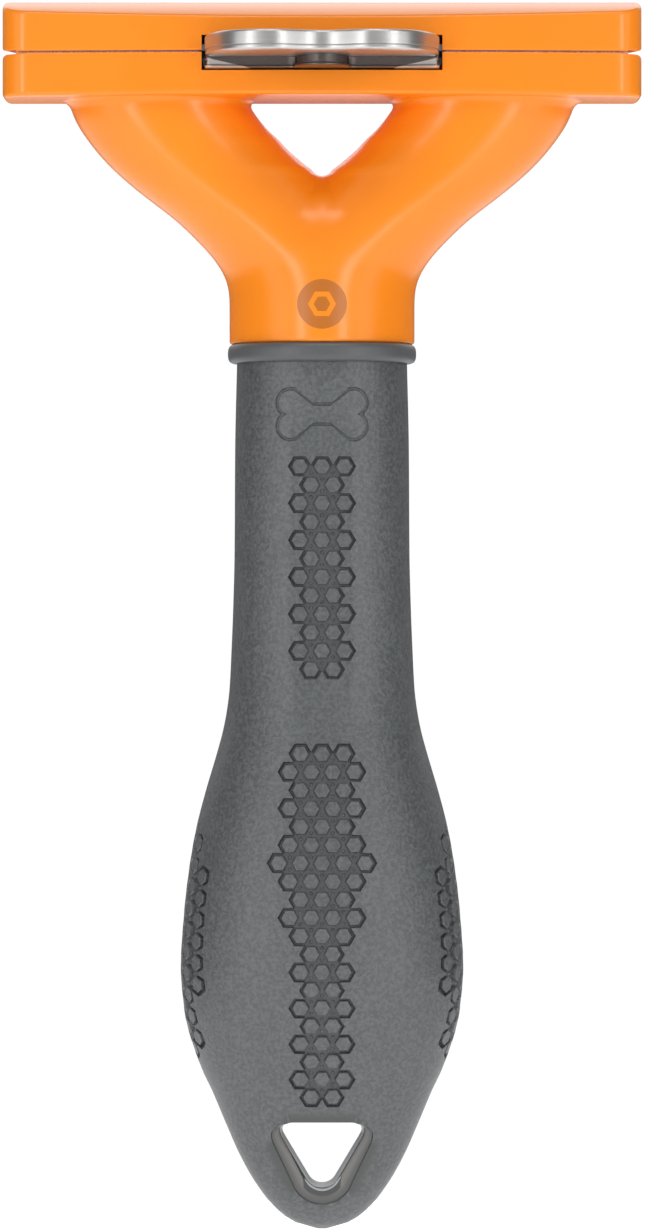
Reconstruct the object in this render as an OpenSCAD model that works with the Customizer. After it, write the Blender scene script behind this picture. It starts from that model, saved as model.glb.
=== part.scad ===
// Deshedding tool: a comb blade in a two-shell head, a spring-return ejector, and a soft-grip handle.
// +Z runs up the handle to the head, the thumb button faces -Y and the comb teeth point to +Y.
// The origin is under the tail's tip, in the middle of the part's depth and width.

/* [Head] */
// Length of both head shells along X
head_len = 80; // [72:0.5:96]
// Front of the head at its middle, measured forward from the handle axis
head_front = 10.5; // [9:0.5:13]
// Back of the head at its middle, measured backward from the handle axis
head_back = 11; // [10.5:0.5:14]
// Height of the parting plane between the shells above the tail's tip
part_z = 147.5; // [138:0.5:160]
// Rise of the upper shell's crown above the parting plane
upper_rise = 6.9; // [6.5:0.1:9]
// Depth of the lower shell below the parting plane
lower_drop = 5.65; // [5.2:0.05:8]
// Plan radius of the bowed front
front_radius = 420; // [200:10:800]
// Rounding of the head's plan corners
corner_r = 3; // [1:0.5:4]
// Wall of the shells
shell_wall = 1.6; // [1.2:0.1:2.2]

/* [Comb] */
// Spacing of the teeth
tooth_pitch = 1.2; // [1:0.05:1.6]
// Number of teeth
tooth_count = 57; // [41:2:61]
// Length of the teeth behind the head
tooth_len = 8; // [7:0.1:12]
// Thickness of the blade
blade_t = 1; // [0.8:0.1:1.2]
// Plan radius of the hollow comb edge
comb_radius = 230; // [180:10:400]
// Width of the blade across the shells
blade_w = 76.4; // [70:0.2:80]

/* [Ejector] */
// Travel of the thumb button
travel = 8; // [6:0.5:8]
// Width of the button's pocket in the head
pocket_w = 30; // [26:0.5:31]
// How far the pad's lobes stand out in front of the head
lobe_reach = 10.97; // [9:0.01:12]
// Thickness of the ejector plate
plate_t = 0.8; // [0.6:0.1:0.9]
// Wire of the return springs
spring_wire = 0.45; // [0.35:0.05:0.5]
// Outer diameter of the return springs
spring_od = 3; // [2.6:0.1:3.1]

/* [Yoke] */
// Width of the neck
neck_w = 23.3; // [21.5:0.1:26]
// Depth of the neck
neck_d = 20.6; // [19:0.1:23]
// Height of the window's lower corner above the tail's tip
crotch_z = 132.5; // [129:0.5:134]
// Height of the neck's lower end above the tail's tip
neck_z = 111.3; // [106:0.1:114]

/* [Handle] */
// Height of the collar ring
collar_h = 2.4; // [1.8:0.1:3.5]
// Width of the collar ring
collar_w = 23.7; // [22:0.1:27]
// Width of the tang
tang_w = 12; // [10:0.5:13]
// Depth of the tang
tang_d = 9; // [8:0.5:10]
// Length of the tang inside the neck
tang_len = 16; // [14:0.5:17]
// Widest place of the palm swell
swell_w = 35.6; // [32:0.1:42]
// Greatest depth of the palm swell
swell_d = 27; // [24:0.5:31]
// Thickness of the soft sleeve over the core
sleeve_t = 3; // [2.4:0.1:3.2]
// Width of the hang hole at its flat top
hang_w = 10; // [8:0.2:10.4]
// Height of the hang hole
hang_h = 8.2; // [7:0.2:8.6]
// Height of the hang hole's flat top above the tail's tip
hang_top = 13.8; // [12.8:0.1:15]

/* [Hidden] */
$fn = 48;
eps = 0.05;
slip = 0.1;          // sliding clearance on each side
seam = 0.1;          // half of the gap between the shells

// Heights inside the head
upper_z = part_z + seam;
lower_z = part_z - seam;
crown_z = part_z + upper_rise;
under_z = part_z - lower_drop;
crown_r = 27;
under_r = 120;
crown_y = 1;
blade_top = upper_z;
plate_z = blade_top + slip;
plate_top = plate_z + plate_t;
roof_z = crown_z - shell_wall - 0.5;
arm_roof_z = plate_top + 2.8;

// Plan arcs: x runs across, and each returns the y of its arc
half = head_len / 2;
function front_y(x) = -head_front + front_radius - sqrt(front_radius * front_radius - x * x);
function comb_y(mid, x) = mid + comb_radius - sqrt(comb_radius * comb_radius - x * x);
function back_y(x) = comb_y(head_back, x);

// Comb
root_y = head_back + 0.4;
tip_y = head_back + tooth_len;
comb_half = tooth_pitch * (tooth_count - 1) / 2;
plate_half = comb_half + 0.6;
plate_back = tip_y - travel - 1.3;

// Button
pocket_z0 = part_z - 2.4;
pocket_z1 = part_z + 2;
pad_z0 = part_z - 0.85;
pad_z1 = pocket_z1 - 0.2;
pad_half = pocket_w / 2 - 0.35;
lobe_x = 6.9;
lobe_y = -head_front - lobe_reach;
carrier_back = -head_front + 2.6;
arm_t = 1.7;
arm_half = 9;
arm_back = head_back - shell_wall - travel - 0.5;
carrier_screw_x = 5.5;
carrier_screw_y = carrier_back + 3.2;

// Springs and pins
spring_x = 21;
spring_z = plate_top + 0.25 + spring_od / 2;
tab_t = 0.8;
tab_y = -head_front + shell_wall + 1.1;
spring_len = 13.6;
spring_y0 = tab_y + tab_t;
spring_y1 = spring_y0 + spring_len;
rod_d = 1.4;
rod_y0 = tab_y - 0.9;
boss_w = 4.4;
stop_x = 29;
stop_y = 2;
stop_d = 2;
head_screw_x = blade_w / 2 - 1.8;
head_screw_y = 5.5;
head_screw_z = crown_z - 2.3;    // underside of the screws' heads
screw_recess_d = 4.2;
blade_screw_xs = [-22, 0, 22];
blade_screw_y = 6.5;
screw_d = 2;

// Yoke
socket_gap = 0.15;
neck_screw_zs = [neck_z + 4.6, neck_z + 11];
neck_head_y = neck_d / 2 - 2.2;

// Handle
grip_top = neck_z - collar_h;
collar_d = neck_d + 0.6;
hang_r = 1.3;
hang_tip_r = 1.9;
eyelet_t = 1.1;
eyelet_d = 9.4;

// Half-widths of the yoke's outer edge above the neck's end, as share-free offsets from the neck's side
function yoke_out(z) = lookup(z - neck_z, [[0, 0], [6, 0], [8, 0.35], [10.7, 1.9], [13.2, 4.2], [15.7, 6.8],
    [18.2, 10.1], [20.7, 13.2], [23.3, 15.9], [25.8, 17.9], [28.3, 19.5], [31, 20.4]]) + neck_w / 2;
function yoke_in(z) = lookup(z - crotch_z, [[0, 0.01], [0.8, 1.2], [2.1, 2.9], [3.3, 4.3], [4.6, 5.5], [5.8, 6.8],
    [7.1, 7.9], [8.6, 8.9], [9.3, 9.3]]);
function yoke_depth(z) = lookup(z - neck_z, [[0, neck_d], [8, neck_d - 0.6], [16, neck_d - 2.6], [22, neck_d - 3.6],
    [31, neck_d - 3.2]]);

// Width and depth of the grip, as shares of the swell and of the upper grip, at heights along the handle
grip_w0 = neck_w - 1.9;
grip_d0 = neck_d - 1.8;
swell_z = 33;
tail_w = [[0, 0.03], [0.3, 0.11], [1, 0.215], [2.9, 0.345], [4.8, 0.432], [7.3, 0.522], [9.8, 0.595], [12.3, 0.657],
    [14.9, 0.719], [17.4, 0.778], [19.9, 0.845], [22.4, 0.899], [24.9, 0.944], [27.5, 0.975], [33, 1]];
tail_d = [[0, 0.05], [1, 0.2], [2.9, 0.31], [4.8, 0.38], [7.3, 0.44], [9.8, 0.49], [12.3, 0.54], [14.9, 0.6],
    [19.9, 0.72], [24.9, 0.85], [29, 0.93], [33, 0.98]];
rise_w = [[33, 1], [40, 0.94], [45, 0.86], [50, 0.74], [55, 0.56], [60, 0.35], [62.7, 0.25], [65.3, 0.18],
    [68, 0.135], [73, 0.1], [78, 0.07], [85, 0.045], [98, 0.035], [109, 0]];
rise_d = [[33, 0.96], [40, 1], [45, 0.96], [50, 0.84], [55, 0.66], [60, 0.46], [65.3, 0.24], [73, 0.06], [85, 0],
    [109, 0]];
function grip_w(z) = z < swell_z ? swell_w * lookup(z, tail_w) : grip_w0 + (swell_w - grip_w0) * lookup(z, rise_w);
function grip_d(z) = z < swell_z ? swell_d * lookup(z, tail_d) : grip_d0 + (swell_d - grip_d0) * lookup(z, rise_d);
core_tail_z = 4;

// One level ring of a loft: a rounded box outline, nearer a rectangle as power grows
function ring(cx, z, w, d, power, sides) = [for (i = [0 : sides - 1]) let (a = 360 * i / sides, c = cos(a), s = sin(a))
    [cx + w / 2 * sign(c) * pow(abs(c), 2 / power), d / 2 * sign(s) * pow(abs(s), 2 / power), z]];

// A closed skin over level rings that all have the same number of points
module loft(rings) {
    n = len(rings[0]);
    last = len(rings) - 1;
    walls = [for (r = [0 : last - 1], i = [0 : n - 1]) let (a = r * n + i, b = r * n + (i + 1) % n)
        each [[a, a + n, b + n], [a, b + n, b]]];
    floor = [[for (i = [0 : n - 1]) i]];
    roof = [[for (i = [n - 1 : -1 : 0]) last * n + i]];
    polyhedron(points = [for (r = rings) each r], faces = concat(walls, floor, roof));
}

// Plan outline of the head shells, grown by g
module head_plan(g = 0) {
    offset(r = corner_r) offset(delta = g - corner_r)
        polygon(concat([for (x = [-half : head_len / 16 : half]) [x, front_y(x)]],
                       [for (x = [half : -head_len / 16 : -half]) [x, back_y(x)]]));
}

// A solid along Z from z0 to z1 with a polygonal plan
module slab(z0, z1) { translate([0, 0, z0]) linear_extrude(z1 - z0) children(); }

// A level cylinder along +Y from y0 to y1
module rod_y(x, z, y0, y1, d) { translate([x, y0, z]) rotate([-90, 0, 0]) cylinder(d = d, h = y1 - y0); }

// Wedge that opens the seam at one end of the head, deeper towards the back
module end_relief(side) {
    x0 = blade_w / 2;
    depth = head_front + head_back + 14;
    translate([side > 0 ? x0 : -x0 - 6, -head_front - 4, lower_z - 0.3])
        rotate([90, 0, 90])
            linear_extrude(6) polygon([[0, 0], [depth, 0], [depth, 3], [0, 0.45]]);
}

// The space for the ejector plate and its tabs, open to the back
module plate_space() {
    w = plate_half + 0.4;
    slab(upper_z - eps, plate_top + 0.2)
        polygon(concat([for (i = [-8 : 8]) let (x = w * i / 8) [x, max(tab_y - 1.2, front_y(x) + 1.1)]],
                       [for (i = [8 : -1 : -8]) let (x = w * i / 8) [x, back_y(x) + 2]]));
}

// Room above the plate for the springs and the carrier's arm
module spring_space() {
    for (s = [-1, 1]) {
        translate([s * spring_x - boss_w / 2 - 0.3, tab_y - 0.3, upper_z])
            cube([boss_w + 0.6, spring_y1 - tab_y + 0.3, roof_z - upper_z]);
        rod_y(s * spring_x, spring_z, rod_y0 - 0.2, tab_y, rod_d + 0.3);
    }
    translate([-arm_half - 0.5, carrier_back - 1.3, upper_z])
        cube([2 * arm_half + 1, arm_back + travel + 0.4 - carrier_back + 1.3, arm_roof_z - upper_z]);
}

// Pocket in the front of the head that the button runs in
module pocket() {
    translate([-pocket_w / 2, -head_front - 3, pocket_z0])
        cube([pocket_w, carrier_back + travel + head_front + 3.4, pocket_z1 - pocket_z0]);
}

module crown() { translate([-half - 1, crown_y, crown_z - crown_r]) rotate([0, 90, 0]) cylinder(r = crown_r, h = head_len + 2, $fn = 180); }
module belly() { translate([-half - 1, -2, under_z + under_r]) rotate([0, 90, 0]) cylinder(r = under_r, h = head_len + 2, $fn = 360); }

module head_upper_shell() {
    color("#f68b27") difference() {
        intersection() { slab(upper_z, crown_z + 1) head_plan(); crown(); }
        plate_space();
        spring_space();
        pocket();
        for (s = [-1, 1]) {
            end_relief(s);
            rod_y(s * spring_x, spring_z, spring_y1 - eps, spring_y1 + 2.2, rod_d);
            translate([s * stop_x, stop_y, upper_z - eps]) cylinder(d = stop_d, h = 2.9);
            translate([s * head_screw_x, head_screw_y, upper_z - eps]) cylinder(d = screw_d + 0.3, h = upper_rise);
            translate([s * head_screw_x, head_screw_y, head_screw_z]) cylinder(d = screw_recess_d, h = 4);
        }
    }
}

// One arm of the yoke. Below the window its inner side crosses the middle, so that the two arms run
// together into the neck with a shallow valley between them.
module arm_loft(side) {
    function inner(z) = z < crotch_z ? -min(crotch_z - z, yoke_out(z) - 1) : yoke_in(z);
    zs = concat([for (k = [12, 13.2, 15.7, 18.2]) neck_z + k],
                [for (k = [-1.2, 0, 0.8, 2.1, 3.3, 4.6, 5.8, 7.1]) crotch_z + k], [under_z + 1.2]);
    loft(concat([ring(0, neck_z + 8, neck_w - 1.6, yoke_depth(neck_z + 8) - 1.6, 2.3, 28)],
                [for (z = zs) let (a = inner(z), b = yoke_out(z))
                    ring(side * (a + b) / 2, z, b - a, yoke_depth(z), 2.3, 28)]));
}

// The neck, and a web above it that fills the valley between the arms up to the window
module neck_loft() {
    web_z = neck_z + 10.7;
    loft(concat([for (k = [0, 6, 8, 10.7]) ring(0, neck_z + k, 2 * yoke_out(neck_z + k), yoke_depth(neck_z + k), 2.4, 36)],
                [for (t = [0.35, 0.7, 1]) ring(0, web_z + (crotch_z - 0.4 - web_z) * t, neck_w - 3 - 7 * t,
                    yoke_depth(web_z) - 1.5 - 5.5 * t * t, 2.2, 36)]));
}

module head_lower_shell() {
    color("#f68b27") difference() {
        union() {
            intersection() { slab(under_z - 1, lower_z) head_plan(); belly(); }
            arm_loft(-1);
            arm_loft(1);
            neck_loft();
        }
        slab(lower_z - blade_t + 2 * seam, lower_z + 1) blade_plan(0.03);
        pocket();
        for (s = [-1, 1]) {
            end_relief(s);
            translate([s * stop_x, stop_y, blade_top - blade_t - 3]) cylinder(d = stop_d, h = 4);
            translate([s * head_screw_x, head_screw_y, under_z + 1.2]) cylinder(d = screw_d, h = lower_drop);
        }
        for (x = blade_screw_xs) translate([x, blade_screw_y, blade_top - blade_t - 3.2]) cylinder(d = screw_d, h = 4);
        translate([-tang_w / 2 - socket_gap, -tang_d / 2 - socket_gap, neck_z - 1])
            cube([tang_w + 2 * socket_gap, tang_d + 2 * socket_gap, tang_len + 1.3]);
        for (z = neck_screw_zs) {
            rod_y(0, z, 0, neck_d, screw_d + 0.4);
            rod_y(0, z, neck_head_y, neck_d, 4.4);
        }
    }
}

// Plan of the whole blade without its teeth, with a notch for the button
module blade_plan(g = 0) {
    w = blade_w / 2 + g;
    notch = pocket_w / 2 + 0.3 - g;
    front = 1.1;
    polygon(concat([for (x = [-w : (w - notch) / 4 : -notch - eps]) [x, front_y(x) + front - g]],
                   [[-notch, front_y(notch) + front - g], [-notch, carrier_back + travel + 0.6 - g],
                    [notch, carrier_back + travel + 0.6 - g], [notch, front_y(notch) + front - g]],
                   [for (x = [notch + (w - notch) / 4 : (w - notch) / 4 : w + eps]) [x, front_y(x) + front - g]],
                   [[w, back_y(w) - 0.6], [comb_half + 1, back_y(comb_half) - 0.6],
                    [comb_half + 1, comb_y(root_y, comb_half) + 3 * g]],
                   [for (x = [comb_half : -comb_half / 14 : -comb_half - eps]) [x, comb_y(root_y, x) + 3 * g]],
                   [[-comb_half - 1, comb_y(root_y, comb_half) + 3 * g],
                    [-comb_half - 1, back_y(comb_half) - 0.6], [-w, back_y(w) - 0.6]]));
}

module tooth(x) {
    y0 = comb_y(root_y, x) - 0.4;
    y1 = comb_y(tip_y, x);
    root = tooth_pitch * 0.31;
    tip = tooth_pitch * 0.17;
    polygon([[x - root, y0], [x + root, y0], [x + tip, y1 - 0.25], [x + tip / 2, y1], [x - tip / 2, y1], [x - tip, y1 - 0.25]]);
}

module comb_blade() {
    color("#c9cac8") difference() {
        slab(blade_top - blade_t, blade_top) {
            blade_plan();
            for (i = [0 : tooth_count - 1]) tooth(-comb_half + i * tooth_pitch);
        }
        for (s = [-1, 1]) {
            translate([s * stop_x, stop_y, blade_top - blade_t - 1]) cylinder(d = stop_d, h = blade_t + 2);
            translate([s * head_screw_x, head_screw_y, blade_top - blade_t - 1]) cylinder(d = screw_d + 0.3, h = blade_t + 2);
        }
        for (x = blade_screw_xs) translate([x, blade_screw_y, blade_top]) {
            translate([0, 0, -blade_t - 1]) cylinder(d = screw_d + 0.2, h = blade_t + 2);
            translate([0, 0, -0.8]) cylinder(d1 = screw_d + 0.1, d2 = screw_d + 2, h = 0.85);
        }
        // the teeth thin towards their tips on the underside
        translate([-half, root_y + 1, blade_top - blade_t]) rotate([0, 90, 0])
            linear_extrude(head_len) polygon([[0.5, 0], [0, 0], [-0.62, tooth_len + 6], [0.5, tooth_len + 6]]);
    }
}

module blade_screws() {
    color("#9fa09c") for (x = blade_screw_xs) translate([x, blade_screw_y, blade_top]) {
        translate([0, 0, -blade_t - 2.6]) cylinder(d = screw_d - 0.02, h = blade_t + 2);
        translate([0, 0, -0.78]) cylinder(d1 = screw_d, d2 = screw_d + 1.7, h = 0.7);
    }
}

module ejector_plate() {
    color("#b9bab8") {
        difference() {
            slab(plate_z, plate_top) difference() {
                polygon(concat([[-plate_half, tab_y], [plate_half, tab_y]],
                               [for (x = [plate_half : -plate_half / 12 : -plate_half - eps]) [x, comb_y(plate_back, x)]]));
                for (s = [-1, 1]) translate([s * stop_x, stop_y]) {
                    circle(d = stop_d + 0.3);
                    translate([0, -travel]) circle(d = stop_d + 0.3);
                    translate([-stop_d / 2 - 0.15, -travel]) square([stop_d + 0.3, travel]);
                }
                translate([-pocket_w / 2 - 0.2, tab_y - 1]) square([pocket_w + 0.4, carrier_back - tab_y + 1.1]);
            }
            for (s = [-1, 1]) translate([s * carrier_screw_x, carrier_screw_y, plate_z - 1]) cylinder(d = 1.7, h = plate_t + 2);
        }
        for (s = [-1, 1]) difference() {
            translate([s * spring_x - boss_w / 2, tab_y, plate_top - eps])
                cube([boss_w, tab_t, spring_od + 0.6]);
            rod_y(s * spring_x, spring_z, tab_y - 1, tab_y + tab_t + 1, rod_d + 0.3);
        }
    }
}

// Kidney-shaped plan of the pad: two lobes with a hollow between them
module pad_plan(inset = 0) {
    function rim(x) = let (u = abs(x))
        u < lobe_x ? lobe_y + 4.2 * (0.5 + 0.5 * cos(180 * u / lobe_x))
                   : lobe_y + (lobe_reach + 0.6) * (1 - sqrt(max(0, 1 - pow((u - lobe_x) / (pad_half + 0.05 - lobe_x), 2))));
    offset(delta = -inset)
        polygon(concat([for (i = [-24 : 24]) let (x = pad_half * sin(90 * i / 24)) [x, rim(x)]],
                       [[pad_half, carrier_back - 1.4], [-pad_half, carrier_back - 1.4]]));
}

module thumb_pad() {
    color("#b5b2ae") {
        slab(pad_z0 + 0.8, pad_z1) pad_plan();
        slab(pad_z0, pad_z0 + 0.8 + eps) pad_plan(0.6);
    }
}

module button_carrier() {
    color("#8d8986") difference() {
        union() {
            slab(pocket_z0 + 0.2, pad_z0 - 0.02)
                polygon(concat([for (i = [-20 : 20]) let (x = pad_half * i / 20, u = abs(x))
                    [x, u < 3 ? -head_front - 4.4 - 1.6 * cos(30 * u)
                              : -head_front - 1.2 - 3.2 * max(0, 1 - (u - 3) / 3)]],
                    [[pad_half, carrier_back], [-pad_half, carrier_back]]));
            translate([-pad_half, carrier_back - 1.4 + 0.02, pocket_z0 + 0.2])
                cube([2 * pad_half, 1.38, pad_z1 - pocket_z0 - 0.2]);
            translate([-arm_half, carrier_back - 1, plate_top + 0.02])
                cube([2 * arm_half, arm_back - carrier_back + 1, arm_t]);
        }
        for (s = [-1, 1]) translate([s * carrier_screw_x, carrier_screw_y, plate_z - 1]) cylinder(d = 1.7, h = 6);
    }
}

module carrier_screws() {
    color("#9fa09c") for (s = [-1, 1]) translate([s * carrier_screw_x, carrier_screw_y, 0]) {
        translate([0, 0, plate_z]) cylinder(d = 1.66, h = arm_t + plate_t + 0.3);
        translate([0, 0, plate_top + arm_t + 0.04]) difference() {
            cylinder(d = 3.2, h = 0.7);
            translate([-2, -0.25, 0.4]) cube([4, 0.5, 1]);
        }
    }
}

// A coil of wire along Y between the tab and the boss
module spring(side) {
    turns = 7;
    steps = 10;
    wire_sides = 6;
    r = (spring_od - spring_wire) / 2;
    length = spring_len - 2 * spring_wire;
    rings = [for (k = [0 : turns * steps]) let (a = 360 * k / steps, y = spring_y0 + spring_wire + length * k / (turns * steps))
        [for (j = [0 : wire_sides - 1]) let (b = 360 * j / wire_sides, rr = r + spring_wire / 2 * cos(b))
            [side * spring_x + rr * cos(a), y + spring_wire / 2 * sin(b), spring_z + rr * sin(a)]]];
    color("#a8a9a7") loft(rings);
}

module spring_rod(side) {
    color("#b3b4b2") rod_y(side * spring_x, spring_z, rod_y0, spring_y1 + 2, rod_d - 0.02);
}

module stop_pin(side) {
    color("#b3b4b2") translate([side * stop_x, stop_y, blade_top - blade_t - 2.8]) cylinder(d = stop_d - 0.02, h = blade_t + 5.4);
}

module head_screws() {
    color("#9fa09c") for (s = [-1, 1]) translate([s * head_screw_x, head_screw_y, 0]) difference() {
        union() {
            translate([0, 0, under_z + 1.4]) cylinder(d = screw_d - 0.02, h = head_screw_z - under_z - 1.3);
            translate([0, 0, head_screw_z + 0.04]) cylinder(d = screw_recess_d - 0.4, h = 1.4);
        }
        translate([0, 0, head_screw_z + 0.7]) cylinder(d = 1.7, h = 2, $fn = 6);
    }
}

module neck_screws() {
    color("#9fa09c") for (z = neck_screw_zs) difference() {
        union() {
            rod_y(0, z, -tang_d / 2 + 1.6, neck_head_y + 0.1, screw_d - 0.02);
            rod_y(0, z, neck_head_y + 0.02, neck_head_y + 1.5, 4);
        }
        translate([0, neck_head_y + 0.7, z]) rotate([-90, 0, 0]) cylinder(d = 1.9, h = 2, $fn = 6);
    }
}

// Rounded triangle of the hang hole, flat side up, grown by g
module hang_outline(g = 0) {
    hull() {
        for (s = [-1, 1]) translate([s * (hang_w / 2 - hang_r), hang_top - hang_r]) circle(r = hang_r + g);
        translate([0, hang_top - hang_h + hang_tip_r]) circle(r = hang_tip_r + g);
    }
}

module hang_prism(g, y0, y1) { translate([0, y1, 0]) rotate([90, 0, 0]) linear_extrude(y1 - y0) hang_outline(g); }

// Rings of the core, one sleeve thickness inside the grip
function core_rings(g) = [for (z = [core_tail_z, 5.5, 8, 11, 15, 20, 25, 29, 33, 40, 47, 54, 60, 66, 73, 90, grip_top])
    ring(0, z, max(7, grip_w(z) - 2 * sleeve_t) + 2 * g, max(4, grip_d(z) - 2 * sleeve_t) + 2 * g, 2.3, 24)];

module handle_core() {
    color("#84878a") difference() {
        union() {
            loft(core_rings(0));
            translate([-tang_w / 2, -tang_d / 2, grip_top - 1]) cube([tang_w, tang_d, collar_h + tang_len + 1]);
        }
        hang_prism(eyelet_t + 0.04, -20, 20);
        for (z = neck_screw_zs) rod_y(0, z, -tang_d / 2 + 1.5, tang_d, screw_d);
    }
}

module grip_sleeve() {
    zs = [0, 0.3, 1, 2.9, 4.8, 7.3, 9.8, 12.3, 14.9, 17.4, 19.9, 22.4, 24.9, 27.5, 33, 40, 45, 50, 55, 60, 62.7, 65.3, 68, 73, 78, 85, 98];
    color("#64696c") difference() {
        loft([for (z = concat(zs, [grip_top])) ring(0, z, grip_w(z), grip_d(z), 2.3, 32)]);
        loft(concat(core_rings(0.03), [ring(0, grip_top + 1, grip_w0 - 2 * sleeve_t, grip_d0 - 2 * sleeve_t, 2.3, 24)]));
        hang_prism(eyelet_t + 0.04, -20, 20);
    }
}

module collar_ring() {
    color("#6b6d6e") difference() {
        slab(grip_top + 0.02, neck_z - 0.02) scale([collar_w / collar_d, 1]) circle(d = collar_d, $fn = 72);
        translate([-tang_w / 2 - socket_gap, -tang_d / 2 - socket_gap, grip_top - 1])
            cube([tang_w + 2 * socket_gap, tang_d + 2 * socket_gap, collar_h + 2]);
    }
}

module hang_eyelet() {
    color("#8f9295") difference() {
        hang_prism(eyelet_t, -eyelet_d / 2, eyelet_d / 2);
        hang_prism(0, -20, 20);
    }
}

head_upper_shell();
head_lower_shell();
comb_blade();
blade_screws();
ejector_plate();
button_carrier();
thumb_pad();
carrier_screws();
spring(-1);  // return_spring_left
spring(1);  // return_spring_right
spring_rod(-1);  // spring_rod_left
spring_rod(1);  // spring_rod_right
stop_pin(-1);  // stop_pin_left
stop_pin(1);  // stop_pin_right
head_screws();
neck_screws();
handle_core();
grip_sleeve();
collar_ring();
hang_eyelet();
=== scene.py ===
"""Deshedding tool: the finished model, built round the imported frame."""
import math

import bmesh
import bpy
import numpy as np
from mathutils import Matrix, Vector
from mathutils.geometry import delaunay_2d_cdt


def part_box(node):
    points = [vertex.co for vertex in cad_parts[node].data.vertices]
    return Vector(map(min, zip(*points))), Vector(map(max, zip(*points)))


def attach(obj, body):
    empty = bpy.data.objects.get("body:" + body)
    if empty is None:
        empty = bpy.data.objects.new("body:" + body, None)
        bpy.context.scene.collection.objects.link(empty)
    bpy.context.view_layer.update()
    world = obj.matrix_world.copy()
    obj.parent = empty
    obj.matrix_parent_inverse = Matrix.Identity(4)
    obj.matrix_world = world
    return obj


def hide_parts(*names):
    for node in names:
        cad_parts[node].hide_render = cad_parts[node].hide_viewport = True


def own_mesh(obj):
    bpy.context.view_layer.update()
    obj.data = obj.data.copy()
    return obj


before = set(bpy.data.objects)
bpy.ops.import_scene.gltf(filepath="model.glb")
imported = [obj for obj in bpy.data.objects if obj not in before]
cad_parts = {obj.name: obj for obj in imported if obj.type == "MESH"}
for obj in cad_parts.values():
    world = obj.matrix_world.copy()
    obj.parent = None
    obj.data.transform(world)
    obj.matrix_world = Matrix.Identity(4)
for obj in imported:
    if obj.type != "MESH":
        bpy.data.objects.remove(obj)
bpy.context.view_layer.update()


# ---------------------------------------------------------------- studio
# A level view of the front from about arm's length, over a plain pale floor. Two tall soft boxes
# stand in front of the tool, two broader and dimmer ones farther round its sides, and one hangs
# above. The room round them is white.

MM = 0.001
VIEW_HEIGHT, VIEW_DISTANCE, FILM = 0.15498, 0.85, 36
camera_data = bpy.data.cameras.new("camera")
camera_data.sensor_width = FILM
camera_data.lens = FILM * VIEW_DISTANCE / VIEW_HEIGHT
camera_data.clip_end = 20
camera = bpy.data.objects.new("camera", camera_data)
camera.location = (0.06 * MM, -VIEW_DISTANCE, VIEW_HEIGHT / 2 - 0.23 * MM)
camera.rotation_euler = (math.pi / 2, 0, 0)
bpy.context.scene.collection.objects.link(camera)
bpy.context.scene.camera = camera
bpy.context.scene.view_settings.view_transform = "Standard"


def soft_box(name, place, size, watts):
    """An area light that faces the middle of the tool."""
    data = bpy.data.lights.new(name, "AREA")
    data.shape = "RECTANGLE"
    data.size, data.size_y = size
    data.energy = watts
    light = bpy.data.objects.new(name, data)
    light.location = place
    aim = Vector((0, 0, 0.09)) - Vector(place)
    light.rotation_euler = aim.to_track_quat("-Z", "Y").to_euler()
    bpy.context.scene.collection.objects.link(light)


soft_box("left_box", (-0.44, -0.74, 0.13), (0.11, 0.85), 2.1)
soft_box("right_box", (0.44, -0.74, 0.13), (0.11, 0.85), 2.1)
soft_box("left_wing", (-0.7, -0.48, 0.13), (0.34, 0.6), 0.8)
soft_box("right_wing", (0.7, -0.48, 0.13), (0.34, 0.6), 0.8)
soft_box("top_box", (0, -0.42, 0.82), (0.5, 0.3), 2.2)


class Value:
    """A shader socket that adds its Math nodes when it is used in an expression."""

    def __init__(self, finish, socket):
        self.finish, self.socket = finish, socket

    def math(self, operation, *others):
        return self.finish.node("ShaderNodeMath", {"operation": operation}, [self, *others])

    def __add__(self, other):
        return self.math("ADD", other)

    def __sub__(self, other):
        return self.math("SUBTRACT", other)

    def __rsub__(self, other):
        return self.finish.node("ShaderNodeMath", {"operation": "SUBTRACT"}, [other, self])

    def __mul__(self, other):
        return self.math("MULTIPLY", other)

    def __gt__(self, other):
        return self.math("GREATER_THAN", other)

    def __lt__(self, other):
        return self.math("LESS_THAN", other)

    def ramp(self, low, high):
        """0 below low, 1 above high, and smooth between them."""
        limits = {"Value": self, "From Min": low, "From Max": high}
        return self.finish.node("ShaderNodeMapRange", {"interpolation_type": "SMOOTHSTEP"}, limits)

    __radd__ = __add__
    __rmul__ = __mul__


class NodeMaker:
    """Adds nodes to a tree, for a material or for the room."""

    def __init__(self, tree):
        self.tree = tree

    def node(self, kind, settings, sockets, output=0):
        made = self.tree.nodes.new(kind)
        for key, value in settings.items():
            setattr(made, key, value)
        pairs = sockets.items() if isinstance(sockets, dict) else enumerate(sockets)
        for key, value in pairs:
            if isinstance(value, Value):
                self.tree.links.new(value.socket, made.inputs[key])
            else:
                made.inputs[key].default_value = value
        return Value(self, made.outputs[output])

    def axis(self, letter, at):
        return self.node("ShaderNodeSeparateXYZ", {}, [at], letter)


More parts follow.
